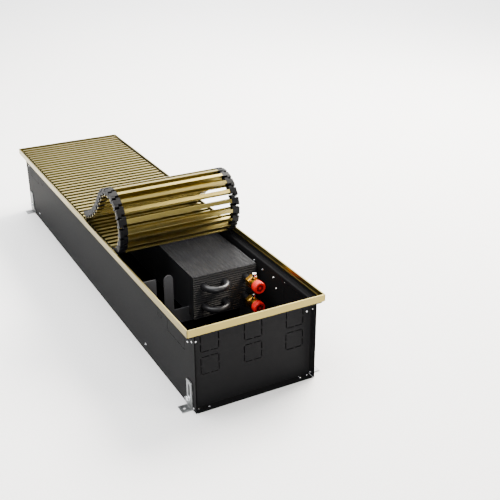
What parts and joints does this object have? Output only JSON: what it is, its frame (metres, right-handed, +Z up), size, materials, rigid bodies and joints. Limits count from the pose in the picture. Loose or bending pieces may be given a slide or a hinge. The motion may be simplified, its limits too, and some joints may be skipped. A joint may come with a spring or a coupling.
{
  "type": "trench convector heater",
  "caption": "In-floor trench convector: black sheet trough with trim frame, roll-up slatted grille partly rolled back, finned heat exchanger with valves, and adjustable floor feet.",
  "frame": {"origin": "under the middle of the casing, at floor level", "axes": "+X along the trench towards the connection end, +Z up, -Y towards the long side seen in the picture"},
  "size_m": [1.25, 0.3262, 0.3355],
  "materials": {
    "champagne": "anodised, satin",
    "black_sheet": "powder coat, satin",
    "black_fins": "painted, matt",
    "black_plastic": "satin",
    "zinc": "zinc plated",
    "brass": "machined",
    "nickel": "nickel plated",
    "red_plastic": "satin"
  },
  "bodies": {
    "casing": {"side_panel_left": "black_sheet", "side_panel_right": "black_sheet", "end_plate_near": "black_sheet", "end_plate_far": "black_sheet", "bottom_panel": "black_sheet", "bracket_near": "black_sheet", "bracket_far": "black_sheet", "frame_carrier_left": "black_sheet", "frame_carrier_right": "black_sheet", "frame_carrier_near": "black_sheet", "frame_carrier_far": "black_sheet", "fin_pack": "black_fins", "exchanger_side_left": "black_fins", "exchanger_side_right": "black_fins", "end_sheet_near": "black_fins", "end_sheet_far": "black_fins", "water_tube": "black_fins", "frame_rail_left": "champagne", "frame_rail_right": "champagne", "frame_rail_near": "champagne", "frame_rail_far": "champagne", "grille_flat_slats": "champagne", "grille_links_left": "black_plastic", "grille_links_right": "black_plastic", "clamp_bolt_near_left": "zinc", "clamp_bolt_near_right": "zinc", "clamp_bolt_far_left": "zinc", "clamp_bolt_far_right": "zinc", "valve_body_lower": "brass", "valve_body_upper": "brass"},
    "slat_01": {"rolled_slat_01": "champagne"},
    "slat_02": {"rolled_slat_02": "champagne"},
    "slat_03": {"rolled_slat_03": "champagne"},
    "slat_04": {"rolled_slat_04": "champagne"},
    "slat_05": {"rolled_slat_05": "champagne"},
    "slat_06": {"rolled_slat_06": "champagne"},
    "slat_07": {"rolled_slat_07": "champagne"},
    "slat_08": {"rolled_slat_08": "champagne"},
    "slat_09": {"rolled_slat_09": "champagne"},
    "slat_10": {"rolled_slat_10": "champagne"},
    "slat_11": {"rolled_slat_11": "champagne"},
    "slat_12": {"rolled_slat_12": "champagne"},
    "slat_13": {"rolled_slat_13": "champagne"},
    "slat_14": {"rolled_slat_14": "champagne"},
    "slat_15": {"rolled_slat_15": "champagne"},
    "slat_16": {"rolled_slat_16": "champagne"},
    "slat_17": {"rolled_slat_17": "champagne"},
    "slat_18": {"rolled_slat_18": "champagne"},
    "slat_19": {"rolled_slat_19": "champagne"},
    "slat_20": {"rolled_slat_20": "champagne"},
    "slat_21": {"rolled_slat_21": "champagne"},
    "foot_near_left": {"foot_near_left": "zinc"},
    "foot_near_right": {"foot_near_right": "zinc"},
    "foot_far_left": {"foot_far_left": "zinc"},
    "foot_far_right": {"foot_far_right": "zinc"},
    "vent_screw_lower": {"vent_screw_lower": "nickel"},
    "dust_cap_lower": {"dust_cap_lower": "red_plastic"},
    "vent_screw_upper": {"vent_screw_upper": "nickel"},
    "dust_cap_upper": {"dust_cap_upper": "red_plastic"}
  },
  "joints": [
    {"name": "grille_hinge_01", "type": "hinge", "parent": "casing", "child": "slat_01", "pos_m": [0.1919, 0, 0.194], "axis": [0, 1, 0], "range_deg": [0, 18]},
    {"name": "grille_hinge_02", "type": "hinge", "parent": "slat_01", "child": "slat_02", "pos_m": [0.21111, 0, 0.20024], "axis": [0, 1, 0], "range_deg": [0, 18]},
    {"name": "grille_hinge_03", "type": "hinge", "parent": "slat_02", "child": "slat_03", "pos_m": [0.22745, 0, 0.21211], "axis": [0, 1, 0], "range_deg": [0, 18]},
    {"name": "grille_hinge_04", "type": "hinge", "parent": "slat_03", "child": "slat_04", "pos_m": [0.23933, 0, 0.22846], "axis": [0, 1, 0], "range_deg": [0, 18]},
    {"name": "grille_hinge_05", "type": "hinge", "parent": "slat_04", "child": "slat_05", "pos_m": [0.24557, 0, 0.24767], "axis": [0, 1, 0], "range_deg": [0, 18]},
    {"name": "grille_hinge_06", "type": "hinge", "parent": "slat_05", "child": "slat_06", "pos_m": [0.24557, 0, 0.26787], "axis": [0, 1, 0], "range_deg": [0, 18]},
    {"name": "grille_hinge_07", "type": "hinge", "parent": "slat_06", "child": "slat_07", "pos_m": [0.23933, 0, 0.28708], "axis": [0, 1, 0], "range_deg": [0, 18]},
    {"name": "grille_hinge_08", "type": "hinge", "parent": "slat_07", "child": "slat_08", "pos_m": [0.22745, 0, 0.30342], "axis": [0, 1, 0], "range_deg": [0, 18]},
    {"name": "grille_hinge_09", "type": "hinge", "parent": "slat_08", "child": "slat_09", "pos_m": [0.21111, 0, 0.3153], "axis": [0, 1, 0], "range_deg": [0, 18]},
    {"name": "grille_hinge_10", "type": "hinge", "parent": "slat_09", "child": "slat_10", "pos_m": [0.1919, 0, 0.32154], "axis": [0, 1, 0], "range_deg": [0, 18]},
    {"name": "grille_hinge_11", "type": "hinge", "parent": "slat_10", "child": "slat_11", "pos_m": [0.1717, 0, 0.32154], "axis": [0, 1, 0], "range_deg": [0, 18]},
    {"name": "grille_hinge_12", "type": "hinge", "parent": "slat_11", "child": "slat_12", "pos_m": [0.15249, 0, 0.3153], "axis": [0, 1, 0], "range_deg": [0, 18]},
    {"name": "grille_hinge_13", "type": "hinge", "parent": "slat_12", "child": "slat_13", "pos_m": [0.13615, 0, 0.30342], "axis": [0, 1, 0], "range_deg": [0, 12]},
    {"name": "grille_hinge_14", "type": "hinge", "parent": "slat_13", "child": "slat_14", "pos_m": [0.12263, 0, 0.28841], "axis": [0, 1, 0], "range_deg": [0, 2]},
    {"name": "grille_hinge_15", "type": "hinge", "parent": "slat_14", "child": "slat_15", "pos_m": [0.10965, 0, 0.27294], "axis": [0, 1, 0], "range_deg": [-4.69, 0]},
    {"name": "grille_hinge_16", "type": "hinge", "parent": "slat_15", "child": "slat_16", "pos_m": [0.09544, 0, 0.25858], "axis": [0, 1, 0], "range_deg": [-4.69, 0]},
    {"name": "grille_hinge_17", "type": "hinge", "parent": "slat_16", "child": "slat_17", "pos_m": [0.08011, 0, 0.24542], "axis": [0, 1, 0], "range_deg": [-4.69, 0]},
    {"name": "grille_hinge_18", "type": "hinge", "parent": "slat_17", "child": "slat_18", "pos_m": [0.06375, 0, 0.23357], "axis": [0, 1, 0], "range_deg": [-4.69, 0]},
    {"name": "grille_hinge_19", "type": "hinge", "parent": "slat_18", "child": "slat_19", "pos_m": [0.04648, 0, 0.22309], "axis": [0, 1, 0], "range_deg": [-4.69, 0]},
    {"name": "grille_hinge_20", "type": "hinge", "parent": "slat_19", "child": "slat_20", "pos_m": [0.02841, 0, 0.21406], "axis": [0, 1, 0], "range_deg": [-4.69, 0]},
    {"name": "grille_hinge_21", "type": "hinge", "parent": "slat_20", "child": "slat_21", "pos_m": [0.00967, 0, 0.20653], "axis": [0, 1, 0], "range_deg": [-4.69, 0]},
    {"name": "foot_near_left_slide", "type": "slide", "parent": "casing", "child": "foot_near_left", "axis": [0, 0, -1], "range_m": [0, 0.029]},
    {"name": "foot_near_right_slide", "type": "slide", "parent": "casing", "child": "foot_near_right", "axis": [0, 0, -1], "range_m": [0, 0.029]},
    {"name": "foot_far_left_slide", "type": "slide", "parent": "casing", "child": "foot_far_left", "axis": [0, 0, -1], "range_m": [0, 0.029]},
    {"name": "foot_far_right_slide", "type": "slide", "parent": "casing", "child": "foot_far_right", "axis": [0, 0, -1], "range_m": [0, 0.029]},
    {"name": "vent_screw_lower_turn", "type": "hinge", "parent": "casing", "child": "vent_screw_lower", "pos_m": [0.419, 0.102, 0.1108], "axis": [0, 0, 1], "range_deg": [0, 180]},
    {"name": "dust_cap_lower_pull", "type": "slide", "parent": "casing", "child": "dust_cap_lower", "axis": [1, 0, 0], "range_m": [0, 0.02]},
    {"name": "vent_screw_upper_turn", "type": "hinge", "parent": "casing", "child": "vent_screw_upper", "pos_m": [0.419, 0.102, 0.1618], "axis": [0, 0, 1], "range_deg": [0, 180]},
    {"name": "dust_cap_upper_pull", "type": "slide", "parent": "casing", "child": "dust_cap_upper", "axis": [1, 0, 0], "range_m": [0, 0.02]}
  ],
  "couplings": [
    {"joint": "grille_hinge_13", "follows": "grille_hinge_12", "ratio": 0.66667},
    {"joint": "grille_hinge_14", "follows": "grille_hinge_12", "ratio": 0.11111},
    {"joint": "grille_hinge_15", "follows": "grille_hinge_12", "ratio": -0.26046},
    {"joint": "grille_hinge_16", "follows": "grille_hinge_12", "ratio": -0.26046},
    {"joint": "grille_hinge_17", "follows": "grille_hinge_12", "ratio": -0.26046},
    {"joint": "grille_hinge_18", "follows": "grille_hinge_12", "ratio": -0.26046},
    {"joint": "grille_hinge_19", "follows": "grille_hinge_12", "ratio": -0.26046},
    {"joint": "grille_hinge_20", "follows": "grille_hinge_12", "ratio": -0.26046},
    {"joint": "grille_hinge_21", "follows": "grille_hinge_12", "ratio": -0.26046}
  ]
}
